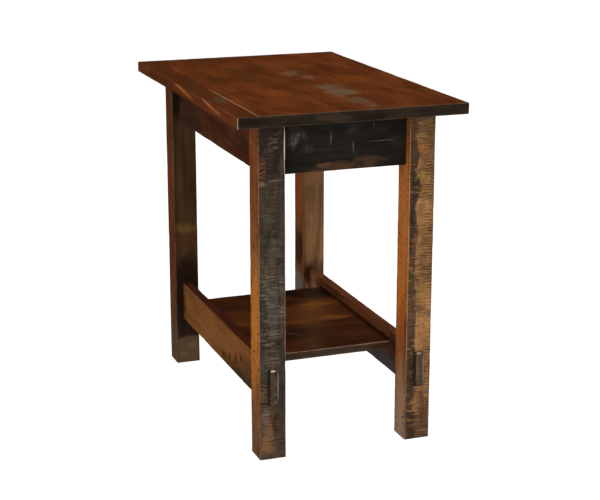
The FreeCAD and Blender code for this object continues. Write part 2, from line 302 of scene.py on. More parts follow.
def common_mesh(first, second):
    """The mesh of what two closed meshes have in common, found the thorough way if the quick one fails."""
    kept = new_object("kept", first)
    cutter = new_object("cutter", second)
    modifier = kept.modifiers.new("common", "BOOLEAN")
    modifier.operation = "INTERSECT"
    modifier.solver = "EXACT"
    modifier.object = cutter
    for thorough in (False, True):
        modifier.use_self = thorough
        depsgraph = bpy.context.evaluated_depsgraph_get()
        mesh = bpy.data.meshes.new_from_object(kept.evaluated_get(depsgraph))
        if volume(mesh) > SOUND_SHARE * volume(first):
            break
    else:
        raise RuntimeError("the worn block and the frame's piece have too little in common")
    for piece in (kept, cutter):
        bpy.data.objects.remove(piece)
    return mesh


def encloses(low, high, point):
    """Whether a box holds a point."""
    return all(low[axis] - WELD < point[axis] < high[axis] + WELD for axis in range(3))


def arris_distance(point, boxes):
    """How far a point on the surface lies from the nearest free arris."""
    nearest = FAR
    for low, high, free, inset in boxes:
        gaps = []
        for axis in range(3):
            below = point[axis] - low[axis] if free[axis][0] else FAR
            above = high[axis] - point[axis] if free[axis][1] else FAR
            gaps.append(max(0.0, min(below, above)))
        if encloses(low, high, point):
            nearest = min(nearest, max(0.0, sorted(gaps)[1] - inset))
    return nearest


def face_key(normal):
    """The side that a face looks to, such as -Y."""
    axis = max(range(3), key=lambda number: abs(normal[number]))
    return ("+" if normal[axis] > 0 else "-") + "XYZ"[axis]


def dress(node, grain, free, finishes, seed, cuts=(), tips=()):
    """Replaces a CAD node with its worn form. finishes has a material for each side and for the rest."""
    wear = bpy.context.scene.rustic_table_wear
    low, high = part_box(node)
    mesh = common_mesh(cad_shape(node, cuts), worn_block(low, high, free, grain, wear, seed, cuts))
    mesh.name = node + "_worn"
    boxes = [(low, high, free, 0.0)] + list(tips)
    arris = mesh.attributes.new("arris", "FLOAT", "POINT")
    arris.data.foreach_set("value", [arris_distance(vertex.co, boxes) for vertex in mesh.vertices])
    names = sorted(finishes)
    mesh.materials.clear()
    for name in names:
        mesh.materials.append(finishes[name])
    for polygon in mesh.polygons:
        key = face_key(polygon.normal)
        if any(encloses(tip_low, tip_high, polygon.center) for tip_low, tip_high, *_ in tips):
            key = "tip"
        polygon.material_index = names.index(key if key in finishes else "rest")
        polygon.use_smooth = True
    mesh.set_sharp_from_angle(angle=SHARP_ANGLE)
    piece = new_object(node + "_worn", mesh)
    piece.modifiers.new("even_shading", "WEIGHTED_NORMAL").keep_sharp = True
    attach(piece, "root")
    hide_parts(node)


# Finishes of the wood

ENDLESS = 1000.0
NEW_RAMP_STOPS = 2
RAGGED_GAIN = 3.0
BUMP_HEIGHT = 0.5 * MM
BROKEN_SIZE = (14 * MM, 2.2 * MM)
SWAY_SIZE = (24 * MM, 40 * MM)
SWAY_GAIN = 16.0
AREA_SIZE = (55 * MM, 24 * MM)
WOOD_SPECULAR = 0.35
COAT_ROUGHNESS = 0.22
ROUGH_SPAN = 0.2
STROKE_ROUGHNESS = 0.12
ARRIS_WAVER = 2.4 * MM
RIM_SHADE = 0.4
RUBBED_PATCH = 40 * MM
RUBBED_LEAST = 0.4

# Shares of the noises in the wood's tone (clouds, streaks, fibres) and its relief (fibres, streaks, grit)

TONE_SHARES = (0.42, 0.36, 0.14)
TONE_BASE = 0.04
RELIEF_SHARES = (0.25, 0.3, 0.15)

# Shifts that keep the noises of one face apart

BROKEN_SHIFT = 12.7
DASH_SHIFT = 0.7
AREA_SHIFT = 3.3
RUBBED_SHIFT = 6.7
STAIN_SHIFT, STAIN_SHIFT_STEP = 5.3, 2.9
STROKES_SHIFT, STROKES_SHIFT_STEP = 2.3, 1.7

# Noise in the wood: size along and across the grain, shift, detail and roughness

LAYERS = {
    "clouds": (130 * MM, 45 * MM, 0.0, 3.0, 0.55),
    "streaks": (160 * MM, 7 * MM, 3.1, 4.0, 0.55),
    "fibres": (30 * MM, 1.2 * MM, 7.7, 2.0, 0.55),
    "grit": (4.0 * MM, 2.8 * MM, 8.3, 3.0, 0.55),
    "ragged": (35 * MM, 16 * MM, 1.9, 4.0, 0.6),
}

# Levels of noise between which a thing comes to show

EVEN_LINES = (0.55, 0.95)
LOOSE_LINES = (0.54, 0.64)
DASHES = (0.36, 0.52)
STROKE_AREAS = (0.38, 0.58)
BROKEN_LINES = (0.44, 0.60)
RUBBED_AREAS = (0.30, 0.56)
RIM_BAND = (6.0 * MM, 2.5 * MM)
STAIN_RISE = 0.14
RUBBED_CORE = 0.35


class Wire:
    """An output of a material's node. A sum on it adds a Math node."""

    def __init__(self, recipe, socket):
        self.recipe = recipe
        self.socket = socket

    def math(self, operation, first, second):
        """A Math node of two inputs."""
        return self.recipe.node("ShaderNodeMath", {"operation": operation}, {0: first, 1: second})

    def __add__(self, other):
        return self.math("ADD", self, other)

    def __radd__(self, other):
        return self.math("ADD", other, self)

    def __sub__(self, other):
        return self.math("SUBTRACT", self, other)

    def __rsub__(self, other):
        return self.math("SUBTRACT", other, self)

    def __mul__(self, other):
        return self.math("MULTIPLY", self, other)

    def __rmul__(self, other):
        return self.math("MULTIPLY", other, self)


@dataclass
class Mark:
    """A patch of another colour on a face, placed by shares of the face across and along its grain.

    reach is half its size across and along, and lean turns it. Last marks lie over the rubbed arrises.
    """

    at: tuple
    reach: tuple
    colour: tuple = (0.0, 0.0, 0.0)
    strength: float = 0.6
    ragged: float = 0.5
    soft: float = 0.7
    broken: float = 0.0
    lean: float = 0.0
    last: bool = False


@dataclass
class Stain:
    """Scattered stains of one colour, sized along and across the grain. Fewer show as least rises."""

    colour: tuple
    strength: float = 0.5
    along: float = 75 * MM
    across: float = 22 * MM
    least: float = 0.50


@dataclass
class Strokes:
    """Fine lines across the grain. They lie everywhere by the given share, and fully near the given marks.

    An even set has its lines one step apart, like the marks of a gang saw.
    """

    colour: tuple
    strength: float
    even: bool = False
    step: float = 2.6 * MM
    length: float = 34 * MM
    dash: float = 8 * MM
    everywhere: float = 1.0
    depth: float = 0.9
    lean: float = 0.0
    near: list = field(default_factory=list)


def saw_marks(strength, **changes):
    """Dark glaze in the saw marks that run across a board."""
    return Strokes(tuple(bpy.context.scene.rustic_table_colours.kerf), strength, **changes)


def scratches(strength, **changes):
    """Short pale strokes where the glaze is rubbed off the tops of the saw marks."""
    plain = {"step": 1.9 * MM, "length": 20 * MM, "dash": 6 * MM, "depth": -0.3}
    return Strokes(tuple(bpy.context.scene.rustic_table_colours.scratch), strength, **(plain | changes))


@dataclass
class Look:
    """What one face shows: its wood, its stains, its saw marks, its rubbed arrises and its own marks."""

    grain: int
    across: int
    box: tuple
    colour: tuple
    dark: float = 0.62
    light: float = 1.45
    grit: float = 0.12
    stains: list = field(default_factory=list)
    strokes: list = field(default_factory=list)
    marks: list = field(default_factory=list)
    rubbed: float = 0.6
    rubbed_width: float = 2.0 * MM
    rubbed_colour: tuple = None
    rim: float = 0.0
    rough: float = 0.42
    gloss: float = 0.2
    relief: float = 1.0
    shift: float = 0.0


class Recipe:
    """The nodes of one material."""

    def __init__(self, name, tree=None):
        if tree is None:
            self.material = bpy.data.materials.new(name)
            self.material.use_nodes = True
            tree = self.material.node_tree
        else:
            self.material = None
        self.tree = tree
        self.tree.nodes.clear()

    def node(self, kind, settings, inputs, output=0):
        """Any node: its settings are set first, then the values or links of its sockets."""
        made = self.tree.nodes.new(kind)
        for name, value in settings.items():
            if name == "stops":
                ramp = made.color_ramp.elements
                for number, (place, colour) in enumerate(value):
                    stop = ramp[number] if number < NEW_RAMP_STOPS else ramp.new(place)
                    stop.position = place
                    stop.color = (*colour, 1.0)
            else:
                setattr(made, name, value)
        for name, value in inputs.items():
            if isinstance(value, Wire):
                self.tree.links.new(value.socket, made.inputs[name])
            elif made.inputs[name].type == "RGBA":
                made.inputs[name].default_value = (*value, 1.0)
            else:
                made.inputs[name].default_value = value
        return Wire(self, made.outputs[output])

    def place(self):
        """The place on the wood, in metres."""
        return self.node("ShaderNodeTexCoord", {}, {}, "Object")

    def grainy(self, place, grain, along, across, shift, detail=3.0, rough=0.55):
        """Noise from 0 to 1 whose features have the given sizes along and across the grain."""
        scale = [1 / across] * 3
        scale[grain] = 1 / along
        mapping = {"Vector": place, "Location": (shift, shift, shift), "Scale": scale}
        moved = self.node("ShaderNodeMapping", {}, mapping)
        inputs = {"Vector": moved, "Scale": 1.0, "Detail": detail, "Roughness": rough}
        return self.node("ShaderNodeTexNoise", {}, inputs, "Fac")

    def rise(self, value, low, high):
        """0 below low, 1 above high, and smooth between them. It falls where high is below low."""
        return self.node(
            "ShaderNodeMapRange", {"interpolation_type": "SMOOTHSTEP"},
            {"Value": value, "From Min": low, "From Max": high, "To Min": 0.0, "To Max": 1.0}
        )

    def mix(self, under, over, factor):
        """Two colours mixed."""
        return self.node("ShaderNodeMix", {"data_type": "RGBA"}, {0: factor, 6: under, 7: over}, 2)

    def turn(self, look, degrees):
        """A turn in the plane of a face."""
        turn = [0.0, 0.0, 0.0]
        turn[X + Y + Z - look.across - look.grain] = math.radians(degrees)
        return turn

    def patch(self, place, look, mark, ragged):
        """How strongly a mark shows at a place: an oval with a ragged rim, whole or broken into strokes."""
        low, high = look.box
        middle = [0.0, 0.0, 0.0]
        reach = [ENDLESS, ENDLESS, ENDLESS]
        for axis, share, length in zip((look.across, look.grain), mark.at, mark.reach):
            middle[axis] = low[axis] + (high[axis] - low[axis]) * share
            reach[axis] = length or ENDLESS
        moved = self.node(
            "ShaderNodeMapping", {"vector_type": "TEXTURE"},
            {"Vector": place, "Location": middle, "Rotation": self.turn(look, mark.lean), "Scale": reach}
        )
        distance = self.node("ShaderNodeVectorMath", {"operation": "LENGTH"}, {0: moved}, "Value")
        if mark.ragged:
            distance = distance + (ragged - 0.5) * (mark.ragged * RAGGED_GAIN)
        shown = self.rise(distance, 1.0, 1.0 - mark.soft) * mark.strength
        if mark.broken:
            lines = self.grainy(place, look.across, *BROKEN_SIZE, look.shift + BROKEN_SHIFT)
            shown = shown * (self.rise(lines, *BROKEN_LINES) * mark.broken + (1.0 - mark.broken))
        return shown

    def strokes(self, place, look, strokes, ragged, shift):
        """How strongly the fine lines across the grain show at a place."""
        grain = look.grain
        turned = place
        if strokes.lean:
            turn = self.turn(look, strokes.lean)
            turned = self.node("ShaderNodeMapping", {}, {"Vector": place, "Rotation": turn})
        if strokes.even:
            along = self.node("ShaderNodeSeparateXYZ", {}, {"Vector": turned}, grain)
            sway = self.grainy(turned, grain, *SWAY_SIZE, shift, 2.0)
            wave = along * (2 * math.pi / strokes.step) + sway * SWAY_GAIN
            lines = self.rise(wave.math("SINE", wave, 0.0), *EVEN_LINES)
        else:
            fine = self.grainy(turned, grain, strokes.step, strokes.length, shift, 0.0)
            lines = self.rise(fine, *LOOSE_LINES)
        short = self.grainy(turned, grain, strokes.step * 2, strokes.dash, shift + DASH_SHIFT, 2.0)
        areas = self.grainy(place, grain, *AREA_SIZE, shift + AREA_SHIFT)
        shown = self.rise(areas, *STROKE_AREAS) * strokes.everywhere
        for mark in strokes.near:
            shown = shown + self.patch(place, look, mark, ragged)
        return lines * self.rise(short, *DASHES) * shown * strokes.strength

    def shader(self, colour, rough, height, look):
        """The wood's shader and its output."""
        relief = {"Strength": min(1.0, look.relief), "Distance": BUMP_HEIGHT, "Height": height}
        bump = self.node("ShaderNodeBump", {}, relief, "Normal")
        surface = self.node(
            "ShaderNodeBsdfPrincipled", {},
            {
                "Base Color": colour, "Roughness": rough, "Normal": bump,
                "Specular IOR Level": WOOD_SPECULAR,
                "Coat Weight": look.gloss, "Coat Roughness": COAT_ROUGHNESS
            }
        )
        return self.end("ShaderNodeOutputMaterial", surface)

    def end(self, kind, surface):
        """Links the surface to its output node and gives the material."""
        output = self.tree.nodes.new(kind)
        self.tree.links.new(surface.socket, output.inputs["Surface"])
        return self.material


def wood(name, look):
    """The material of one face of glazed wood."""
    recipe = Recipe(name)
    place = recipe.place()
    grain = look.grain
    shift = look.shift
    clouds, streaks, fibres, grit, ragged = [
        recipe.grainy(place, grain, along, across, shift + own_shift, detail, rough)
        for along, across, own_shift, detail, rough in LAYERS.values()
    ]
    tone = clouds * TONE_SHARES[0] + streaks * TONE_SHARES[1] + fibres * TONE_SHARES[2]
    tone = tone + (grit - 0.5) * look.grit + TONE_BASE
    darker = shade(look.colour, look.dark)
    lighter = shade(look.colour, look.light)
    stops = [(0.40, darker), (0.60, lighter), (0.5, look.colour)]
    colour = recipe.node("ShaderNodeValToRGB", {"stops": stops}, {"Fac": tone}, "Color")
    for number, stain in enumerate(look.stains):
        own_shift = shift + STAIN_SHIFT + STAIN_SHIFT_STEP * number
        spots = recipe.grainy(place, grain, stain.along, stain.across, own_shift, 5.0, 0.6)
        shown = recipe.rise(spots, stain.least, stain.least + STAIN_RISE) * stain.strength
        colour = recipe.mix(colour, stain.colour, shown)
    for mark in look.marks:
        if not mark.last:
            colour = recipe.mix(colour, mark.colour, recipe.patch(place, look, mark, ragged))
    height = fibres * RELIEF_SHARES[0] + streaks * RELIEF_SHARES[1] + grit * RELIEF_SHARES[2]
    rough = look.rough + clouds * ROUGH_SPAN - ROUGH_SPAN / 2
    for number, strokes in enumerate(look.strokes):
        own_shift = shift + STROKES_SHIFT + STROKES_SHIFT_STEP * number
        shown = recipe.strokes(place, look, strokes, ragged, own_shift)
        colour = recipe.mix(colour, strokes.colour, shown)
        height = height - shown * strokes.depth
        rough = rough + shown * STROKE_ROUGHNESS
    arris = recipe.node("ShaderNodeAttribute", {"attribute_name": "arris"}, {}, "Fac")
    wavy = arris + (ragged - 0.5) * ARRIS_WAVER
    if look.rim:
        rim = recipe.rise(wavy, *RIM_BAND) * look.rim
        colour = recipe.mix(colour, shade(look.colour, RIM_SHADE), rim)
    if look.rubbed:
        paler = look.rubbed_colour or tuple(bpy.context.scene.rustic_table_colours.rubbed)
        areas = recipe.grainy(place, grain, RUBBED_PATCH, RUBBED_PATCH, shift + RUBBED_SHIFT)
        uneven = recipe.rise(areas, *RUBBED_AREAS)
        rubbed = recipe.rise(wavy, look.rubbed_width, look.rubbed_width * RUBBED_CORE) * look.rubbed
        colour = recipe.mix(colour, paler, rubbed * (uneven * (1.0 - RUBBED_LEAST) + RUBBED_LEAST))
    for mark in look.marks:
        if mark.last:
            colour = recipe.mix(colour, mark.colour, recipe.patch(place, look, mark, ragged))
    return recipe.shader(colour, rough, height * look.relief, look)


class FrameOperator(bpy.types.Operator):
    """What the operators that dress the frame's pieces share."""

    bl_options = {"REGISTER", "UNDO"}

    def colours(self, context):
        """The colours that the user has set, as plain tuples."""
        group = context.scene.rustic_table_colours
        return {name: tuple(getattr(group, name)) for name in RusticTableColours.__annotations__}


def outer_sides(number, boards):
    """Whether a board is the first of a row, and whether it is the last."""
    return number == 0, number == len(boards) - 1


def hidden_look(grain, across, box, colour, shift):
    """A hidden face: dull stain with faint saw marks."""
    return Look(
        grain, across, box, colour, strokes=[saw_marks(0.4)], rubbed=0.0, rough=0.60, gloss=0.0, shift=shift
    )


def top_face(box, paints):
    """The upper face: amber and dusky clouds, silvery smudges and the pale seam of the first board."""
    amber = paint(120, 61, 20)
    dusky = paint(66, 38, 17)
    smudge = paints["smudge"]
    return Look(
        Y, X, box, paints["top"], dark=0.68, light=1.35, grit=0.05,
        stains=[
            Stain(dusky, 0.35, 110 * MM, 30 * MM, 0.50),
            Stain(amber, 0.30, 90 * MM, 26 * MM, 0.52),
        ],
        marks=[
            Mark((0.8, 0.47), (0.045, 0.065), amber, 0.5),
            Mark((0.322, 0.313), (0.036, 0.07), amber, 0.55),
            Mark((0.369, 0.813), (0.036, 0.075), amber, 0.45),
            Mark((0.75, 0.85), (0.05, 0.06), amber, 0.25),
            Mark((0.36, 0.69), (0.035, 0.1), dusky, 0.5),
            Mark((0.3, 0.95), (0.11, 0.11), dusky, 0.4),
            Mark((0.045, 0.5), (0.0192, None), paint(70, 38, 18), 0.55, 0.0, 0.12),
            Mark((0.055, 0.26), (0.012, 0.04), paint(78, 68, 46), 0.65),
            Mark((0.565, 0.61), (0.022, 0.05), smudge, 0.75, 0.7, 0.7, 0.6, -20),
            Mark((0.605, 0.545), (0.02, 0.04), smudge, 0.65, 0.7, 0.8, 0.6, -24),
            Mark((0.595, 0.36), (0.036, 0.045), smudge, 0.8, 0.6, 0.7, 0.5, -30),
            Mark((0.552, 0.22), (0.022, 0.05), paint(122, 88, 66), 0.5, 0.8, 0.8, 0.7),
            Mark((0.6, 0.28), (0.036, 0.06), smudge, 0.85, 0.5, 0.7, 0.5, -10),
            Mark((0.64, 0.26), (0.014, 0.05), paint(112, 98, 62), 0.5, 0.8, 0.8, 0.6),
            Mark((0.595, 0.13), (0.026, 0.05), smudge, 0.7, 0.6, 0.8, 0.6),
            Mark((0.6, 0.05), (0.024, 0.034), smudge, 0.6, 0.6, 0.8, 0.6),
            Mark((0.09, 0.2), (0.0009, 0.2), paint(196, 150, 104), 0.9, 0.0, 0.4),
            Mark((0.09, 0.7), (0.0008, 0.2), paint(40, 22, 12), 0.6, 0.0, 0.3),
        ],
        rubbed_width=1.8 * MM, rubbed_colour=paint(104, 80, 58), rough=0.40, gloss=0.08,
        relief=0.35,
    )


def top_side(box, paints):
    """A long side: two flame figures with pale outlines."""
    amber = paint(146, 76, 28)
    pale = paint(176, 126, 80)
    return Look(
        Y, Z, box, paints["top_side"], dark=0.70, light=1.35,
        stains=[Stain(paint(66, 34, 15), 0.5, 90 * MM, 8 * MM)],
        marks=[
            Mark((0.62, 0.482), (0.0046, 0.085), amber, 0.7, 0.3, 0.5, lean=5),
            Mark((0.86, 0.52), (0.001, 0.06), pale, 0.6, 0.2, 0.5, lean=5),
            Mark((0.55, 0.187), (0.0044, 0.085), amber, 0.65, 0.3, 0.5, lean=5),
            Mark((0.8, 0.262), (0.001, 0.045), pale, 0.8, 0.2, 0.5, lean=7),
            Mark((0.4, 0.13), (0.005, 0.014), paint(58, 27, 12), 0.7),
        ],
        rubbed=0.2, rubbed_colour=paint(120, 80, 48), relief=0.6, shift=4.0,
    )


def top_front(box, paints):
    """The front edge: near black, a little browner in its middle."""
    return Look(
        X, Z, box, paints["top_edge"], dark=0.60, light=1.5,
        stains=[Stain(paint(22, 17, 11), 0.4)],
        marks=[
            Mark((0.5, 0.4), (0.01, 0.05), paint(62, 48, 36), 0.6),
            Mark((0.5, 0.0), (None, 0.0026), paint(166, 146, 122), 0.85, 0.2, 0.5, last=True),
        ],
        rubbed=0.65, rubbed_width=2.2 * MM, rubbed_colour=paint(86, 70, 54), rough=0.50, relief=0.7,
        gloss=0.1, shift=8.0,
    )


class DressTop(FrameOperator):
    """Dress the five boards of the top in red-brown glazed wood."""

    bl_idname = "rustic_table.dress_top"
    bl_label = "Top"

    def execute(self, context):
        paints = self.colours(context)
        box = joint_box(TOP_BOARDS)
        front = top_front(box, paints)
        side = top_side(box, paints)
        under = hidden_look(Y, X, box, paint(92, 60, 36), 12.0)
        finishes = {
            "+Z": wood("top_face", top_face(box, paints)), "rest": wood("top_under", under),
            "-Y": wood("top_front_edge", front), "+Y": wood("top_back_edge", front),
            "-X": wood("top_left_edge", side), "+X": wood("top_right_edge", side),
        }
        for number, node in enumerate(TOP_BOARDS):
            free = (outer_sides(number, TOP_BOARDS), BOTH, BOTH)
            dress(node, Y, free, finishes, seed=4)
        return {"FINISHED"}


def left_leg_front(box, paints):
    """The left leg's front: charcoal glaze with short pale scratches, browner towards the foot."""
    return Look(
        Z, X, box, paints["charcoal"], dark=0.60,
        stains=[
            Stain(paint(34, 25, 17), 0.60, 60 * MM, 20 * MM, 0.50),
            Stain(paint(88, 78, 66), 0.35, 40 * MM, 14 * MM, 0.54),
            Stain(paint(64, 52, 28), 0.35, 60 * MM, 16 * MM, 0.56),
        ],
        strokes=[
            scratches(
                0.55, everywhere=0.40,
                near=[
                    Mark((0.5, 0.44), (0.032, 0.16), strength=0.8),
                    Mark((0.65, 0.945), (0.014, 0.012), strength=0.8),
                ],
            ),
            saw_marks(
                0.80, even=True, step=7.0 * MM, dash=14 * MM, everywhere=0.20,
                near=[
                    Mark((0.12, 0.86), (0.013, 0.03), strength=1.2),
                    Mark((0.12, 0.2), (0.013, 0.07), strength=1.5),
                    Mark((0.55, 0.09), (0.022, 0.045), strength=0.8),
                ],
            ),
        ],
        marks=[
            Mark((0.5, 0.98), (0.06, 0.14), paint(36, 25, 16), 0.75),
            Mark((0.12, 0.87), (0.011, 0.03), paint(112, 62, 34), 0.65),
            Mark((0.12, 0.83), (0.012, 0.006), paint(134, 102, 68), 0.6),
            Mark((0.55, 0.46), (0.018, 0.06), paint(86, 76, 66), 0.6, 0.9, 0.7, 0.4),
            Mark((0.5, 0.62), (0.018, 0.03), paint(82, 72, 58), 0.5, 0.9, 0.7, 0.4),
            Mark((0.62, 0.838), (0.02, 0.0035), paint(96, 84, 70), 0.6, 0.3),
            Mark((0.93, 0.72), (0.004, 0.022), paint(96, 40, 26), 0.7),
            Mark((0.9, 0.45), (0.006, 0.06), paint(82, 44, 34), 0.5),
            Mark((0.5, 0.09), (0.06, 0.11), paint(84, 58, 35), 0.75),
            Mark((0.14, 0.21), (0.01, 0.03), paint(96, 72, 42), 0.75),
            Mark((0.22, 0.135), (0.009, 0.02), paint(116, 92, 76), 0.6, 0.7),
            Mark((0.3, 0.07), (0.014, 0.04), paint(124, 84, 46), 0.75, 0.9),
            Mark((0.6, 0.13), (0.008, 0.036), paint(36, 24, 15), 0.8, 0.8),
            Mark((0.85, 0.04), (0.012, 0.02), paint(44, 30, 19), 0.6, 0.9),
            Mark((0.8, 0.17), (0.012, 0.09), paint(52, 42, 34), 0.6),
            Mark((1.0, 0.45), (0.0024, None), paint(158, 140, 118), 0.75, 0.2, 0.6, last=True),
            Mark((1.0, 0.925), (0.0034, 0.062), paint(214, 200, 180), 0.95, 0.0, 0.4, last=True),
        ],
        rubbed=0.85, rubbed_colour=paint(140, 120, 98), rim=0.25, rough=0.55, gloss=0.05,
    )


def right_leg_front(box, paints):
    """The right leg's front: tan with dark saw marks, and dark glaze down its left third."""
    return Look(
        Z, X, box, paints["tan"], dark=0.70, light=1.25,
        stains=[
            Stain(paint(112, 86, 34), 0.55, 50 * MM, 18 * MM, 0.50),
            Stain(paint(124, 62, 28), 0.50, 45 * MM, 16 * MM, 0.53),
            Stain(paint(74, 50, 32), 0.45, 40 * MM, 12 * MM, 0.54),
            Stain(paint(72, 50, 30), 0.55, 11 * MM, 26 * MM, 0.50),
        ],
        strokes=[
            Strokes(paint(172, 122, 70), 0.5, step=2.2 * MM, length=18 * MM, everywhere=0.9, depth=-0.3),
            saw_marks(
                0.75, even=True, step=5.2 * MM, dash=15 * MM, everywhere=0.65,
                near=[Mark((0.92, 0.55), (0.016, None), strength=0.8, soft=0.5)],
            ),
        ],
        marks=[
            Mark((0.13, 0.5), (0.0135, None), paint(60, 43, 31), 0.9, 0.9, 0.35, 0.2),
            Mark((0.12, 0.84), (0.013, 0.17), paint(40, 27, 19), 0.8, 0.9, 0.5, 0.2),
            Mark((0.5, 1.0), (0.06, 0.14), paint(78, 56, 30), 0.6),
            Mark((0.5, 0.0), (0.06, 0.11), paint(68, 45, 26), 0.75),
            Mark((0.24, 0.24), (0.014, 0.09), paint(54, 42, 24), 0.75),
            Mark((0.2, 0.05), (0.015, 0.05), paint(56, 40, 26), 0.75),
            Mark((0.75, 0.35), (0.01, 0.06), paint(150, 102, 48), 0.5),
            Mark((0.55, 0.9), (0.014, 0.014), paint(152, 88, 30), 0.6),
            Mark((0.66, 0.97), (0.012, 0.01), paint(130, 102, 28), 0.45, 0.9),
            Mark((0.55, 0.82), (0.012, 0.012), paint(128, 102, 30), 0.55),
            Mark((0.0, 0.64), (0.0024, 0.36), paint(190, 140, 88), 0.8, 0.2, 0.5, last=True),
        ],
        rubbed=0.8, rubbed_colour=paint(156, 124, 92), rim=0.2, rough=0.50, gloss=0.05, shift=21.0,
    )


def leg_side(box, colour, strength, lean, marks, shift):
    """A leg's side: orange-brown with fine dark saw marks near its arrises, greyer towards the foot."""
    return Look(
        Z, Y, box, colour, dark=0.72, light=1.25,
        stains=[
            Stain(shade(colour, 0.5), 0.35, 60 * MM, 12 * MM, 0.52),
            Stain(paint(120, 50, 18), 0.30, 50 * MM, 14 * MM, 0.54),
        ],
        strokes=[
            saw_marks(strength, even=True, step=10 * MM, dash=24 * MM, everywhere=0.8, depth=0.5, lean=lean),
            saw_marks(
                strength, step=2.2 * MM, length=16 * MM, dash=5 * MM, everywhere=0.2,
                near=[Mark((0.05, 0.5), (0.012, None)), Mark((0.95, 0.5), (0.008, None))],
            ),
        ],
        marks=marks, rubbed=0.5, rubbed_colour=paint(160, 118, 76), rim=0.35, gloss=0.1, shift=shift,
    )


def leg_side_rows(paints):
    """For each leg the colour, the saw marks' strength and lean, and the marks of its left side."""
    return {
        "leg_front_left": (paints["orange"], 1.10, -32, [
            Mark((0.5, 1.0), (0.09, 0.3), paint(104, 52, 16), 0.75),
            Mark((0.5, 0.4), (0.09, 0.15), paint(176, 106, 30), 0.75),
            Mark((0.5, 0.0), (0.09, 0.15), paint(96, 70, 48), 0.8),
        ]),
        "leg_front_right": (paints["orange"], 0.65, -18, [
            Mark((0.5, 0.62), (0.09, 0.24), paint(172, 98, 32), 0.8),
            Mark((0.4, 0.31), (0.026, 0.075), paint(130, 56, 20), 0.6),
            Mark((0.08, 0.33), (0.007, 0.05), paint(62, 32, 16), 0.7, 0.8),
            Mark((0.2, 0.22), (0.02, 0.06), paint(92, 58, 26), 0.5),
            Mark((0.5, 0.0), (0.09, 0.17), paint(142, 114, 90), 0.8),
        ]),
        "leg_back_left": (shade(paints["red_brown"], 1.12), 0.40, -15, [
            Mark((0.5, 0.0), (0.09, 0.19), paint(84, 66, 46), 0.8),
            Mark((0.4, 0.55), (0.018, 0.11), paint(104, 50, 20), 0.5),
        ]),
        "leg_back_right": (shade(paints["red_brown"], 1.5), 0.40, -15, [
            # Grey low on the side: partly the glaze's own grey, partly a painted reflection of the pale
            # floor.
            Mark((0.5, 0.1), (0.09, 0.119), paint(90, 84, 80), 0.85, 0.2, 0.2),
            Mark((0.5, 0.37), (0.06, 0.042), paint(40, 24, 11), 0.75, 0.4, 0.4),
            Mark((0.5, 0.62), (0.04, 0.16), paint(122, 62, 20), 0.75),
            Mark((0.2, 0.58), (0.01, 0.11), paint(146, 74, 20), 0.6),
        ]),
    }


def back_leg_front(box, colour, marks, shift):
    """A back leg's front: darker and smoother than the front legs."""
    return Look(
        Z, X, box, colour, light=1.4,
        stains=[Stain(shade(colour, 0.45), 0.5, 120 * MM, 14 * MM)],
        strokes=[saw_marks(0.35, everywhere=0.4)],
        marks=marks, rubbed=0.3, rim=0.35, rough=0.45, gloss=0.1, shift=shift,
    )


def leg_fronts(paints):
    """Each leg's front."""
    dark_low = Mark((0.5, 0.23), (0.06, 0.115), paint(26, 16, 9), 0.9, 0.3, 0.5)
    foot = Mark((0.5, 0.0), (0.06, 0.06), paint(90, 65, 38), 0.85, 0.1, 0.1)
    return {
        "leg_front_left": left_leg_front(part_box("leg_front_left"), paints),
        "leg_front_right": right_leg_front(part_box("leg_front_right"), paints),
        "leg_back_left": back_leg_front(
            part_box("leg_back_left"), paints["olive"],
            [
                dark_low, foot,
                Mark((0.5, 0.478), (0.06, 0.015), paint(100, 72, 22), 0.65, 0.8, 0.9),
                Mark((0.5, 0.44), (0.06, 0.018), paint(74, 36, 17), 0.55),
                # Painted shadow of the top on the leg's front, left of the apron.
                Mark((0.3, 1.0), (0.06, 0.115), paint(22, 16, 11), 0.85, 0.2, 0.4),
                Mark((0.7, 0.06), (0.012, 0.01), paint(116, 84, 48), 0.5, 0.5, 0.9),
                Mark((0.3, 0.03), (0.012, 0.006), paint(116, 84, 48), 0.4, 0.5, 0.9),
            ], 31.0
        ),
        "leg_back_right": back_leg_front(
            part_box("leg_back_right"), paints["honey"],
            [
                Mark((0.05, 0.6), (0.01, None), paint(92, 52, 26), 0.6),
                # Painted light: a lighter patch against the shade from the apron above.
                Mark((0.5, 0.63), (0.06, 0.03), paint(128, 88, 50), 0.5, 0.4, 0.5),
                Mark((0.5, 0.29), (0.06, 0.03), paint(50, 34, 18), 0.6),
                # Painted shadow on the front beside the stretcher, at the shelf's height.
                Mark((0.26, 0.265), (0.014, 0.03), paint(32, 18, 8), 0.85, 0.4, 0.5),
            ], 37.0
        ),
    }


class DressLegs(FrameOperator):
    """Dress the four legs in rough-sawn wood, orange on the sides and glazed dark on the fronts."""

    bl_idname = "rustic_table.dress_legs"
    bl_label = "Legs"

    def execute(self, context):
        paints = self.colours(context)
        sides = leg_side_rows(paints)
        fronts = leg_fronts(paints)
        for number, node in enumerate(LEGS):
            # No right side shows in the photo. It takes the look of the left leg's.
            shift = 5.0 + 6 * number
            left = leg_side(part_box(node), *sides[node], shift)
            right = leg_side(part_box(node), *sides[node.replace("right", "left")], shift + 3.0)
            finishes = {
                "-Y": wood(node + "_front", fronts[node]), "+Y": wood(node + "_back", fronts[node]),
                "-X": wood(node + "_left", left), "+X": wood(node + "_right", right),
            }
            finishes["rest"] = finishes["+Y"]
            dress(node, Z, (BOTH, BOTH, NEITHER), finishes, seed=20 + number)
        return {"FINISHED"}


